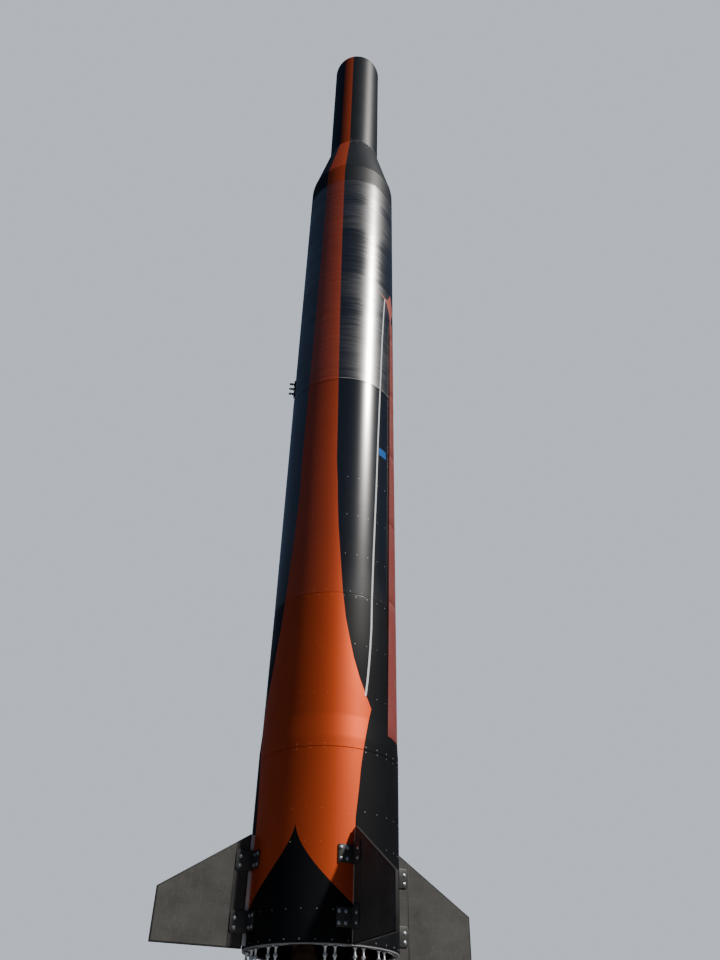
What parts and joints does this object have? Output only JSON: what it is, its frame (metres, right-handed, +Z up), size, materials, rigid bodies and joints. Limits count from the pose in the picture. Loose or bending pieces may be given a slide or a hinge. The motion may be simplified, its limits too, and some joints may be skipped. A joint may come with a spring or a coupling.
{
  "type": "space rocket",
  "caption": "Slender upright launch rocket with a stepped cylindrical body, swept fins on brackets, side cable covers and swinging engines with hollow bells in an open aft skirt.",
  "frame": {"origin": "on the long axis, in the plane of the base ring's lower face, where the launch mount holds the rocket", "axes": "+Z up along the long axis to the nose, -Y the side of the wide front stripe, +X the side of the right raceway"},
  "size_m": [1.7254, 1.7254, 12.555],
  "materials": {
    "black_composite": "gloss wound composite with painted stripes",
    "satin_black": "satin painted composite",
    "fin_grey": "raw matte composite",
    "bracket_grey": "dark grey painted metal",
    "raceway_red": "dull red paint",
    "bare_steel": "bare",
    "nozzle_brown": "heat darkened",
    "frame_metal": "mill"
  },
  "bodies": {
    "airframe": {"lower_tank": "black_composite", "mid_tank": "black_composite", "upper_tank": "black_composite", "forward_skirt": "satin_black", "interstage_cone": "satin_black", "upper_stage": "satin_black", "payload_fairing": "satin_black", "nose_cap": "satin_black", "aft_skirt": "black_composite", "aft_dome": "frame_metal", "base_ring_1": "bare_steel", "base_ring_2": "bare_steel", "base_ring_3": "bare_steel", "base_ring_4": "bare_steel", "thrust_frame": "frame_metal", "raceway_right": "raceway_red", "raceway_left": "raceway_red", "umbilical_connector": "bracket_grey", "fin_panel_1": "fin_grey", "fin_panel_2": "fin_grey", "fin_panel_3": "fin_grey", "fin_panel_4": "fin_grey", "fin_root_1": "fin_grey", "fin_root_2": "fin_grey", "fin_root_3": "fin_grey", "fin_root_4": "fin_grey", "fin_bracket_1_upper": "bracket_grey", "fin_bracket_1_lower": "bracket_grey", "fin_bracket_2_upper": "bracket_grey", "fin_bracket_2_lower": "bracket_grey", "fin_bracket_3_upper": "bracket_grey", "fin_bracket_3_lower": "bracket_grey", "fin_bracket_4_upper": "bracket_grey", "fin_bracket_4_lower": "bracket_grey", "feed_line_1": "bare_steel", "feed_line_2": "bare_steel", "feed_line_3": "bare_steel"},
    "swing_engine_1": {"engine_1": "nozzle_brown"},
    "swing_engine_2": {"engine_2": "nozzle_brown"},
    "swing_engine_3": {"engine_3": "nozzle_brown"},
    "barrel_1": {"actuator_barrel_1": "frame_metal"},
    "barrel_2": {"actuator_barrel_2": "frame_metal"},
    "barrel_3": {"actuator_barrel_3": "frame_metal"},
    "rod_1": {"actuator_rod_1": "bare_steel"},
    "rod_2": {"actuator_rod_2": "bare_steel"},
    "rod_3": {"actuator_rod_3": "bare_steel"}
  },
  "joints": [
    {"name": "engine_1_swing", "type": "hinge", "parent": "airframe", "child": "swing_engine_1", "pos_m": [0, -0.27, 0.4], "axis": [0, -1, 0], "range_deg": [-6, 6]},
    {"name": "engine_2_swing", "type": "hinge", "parent": "airframe", "child": "swing_engine_2", "pos_m": [0.23383, 0.135, 0.4], "axis": [0.866, 0.5, 0], "range_deg": [-6, 6]},
    {"name": "engine_3_swing", "type": "hinge", "parent": "airframe", "child": "swing_engine_3", "pos_m": [-0.23383, 0.135, 0.4], "axis": [-0.866, 0.5, 0], "range_deg": [-6, 6]},
    {"name": "actuator_1_pivot", "type": "hinge", "parent": "airframe", "child": "barrel_1", "pos_m": [0.23, -0.27, 0.43], "axis": [0, -1, 0], "range_deg": [-3, 3]},
    {"name": "actuator_2_pivot", "type": "hinge", "parent": "airframe", "child": "barrel_2", "pos_m": [0.11883, 0.33419, 0.43], "axis": [0.866, 0.5, 0], "range_deg": [-3, 3]},
    {"name": "actuator_3_pivot", "type": "hinge", "parent": "airframe", "child": "barrel_3", "pos_m": [-0.34883, -0.06419, 0.43], "axis": [-0.866, 0.5, 0], "range_deg": [-3, 3]},
    {"name": "actuator_1_slide", "type": "slide", "parent": "barrel_1", "child": "rod_1", "axis": [-0.4626, 0, -0.8866], "range_m": [-0.0205, 0.0205]},
    {"name": "actuator_2_slide", "type": "slide", "parent": "barrel_2", "child": "rod_2", "axis": [0.2313, -0.4006, -0.8866], "range_m": [-0.0205, 0.0205]},
    {"name": "actuator_3_slide", "type": "slide", "parent": "barrel_3", "child": "rod_3", "axis": [0.2313, 0.4006, -0.8866], "range_m": [-0.0205, 0.0205]}
  ],
  "couplings": [
    {"joint": "actuator_1_pivot", "follows": "engine_1_swing", "ratio": 0.48737},
    {"joint": "actuator_2_pivot", "follows": "engine_2_swing", "ratio": 0.48737},
    {"joint": "actuator_3_pivot", "follows": "engine_3_swing", "ratio": 0.48737},
    {"joint": "actuator_1_slide", "follows": "engine_1_swing", "m_per_rad": -0.19004},
    {"joint": "actuator_2_slide", "follows": "engine_2_swing", "m_per_rad": -0.19004},
    {"joint": "actuator_3_slide", "follows": "engine_3_swing", "m_per_rad": -0.19004}
  ]
}
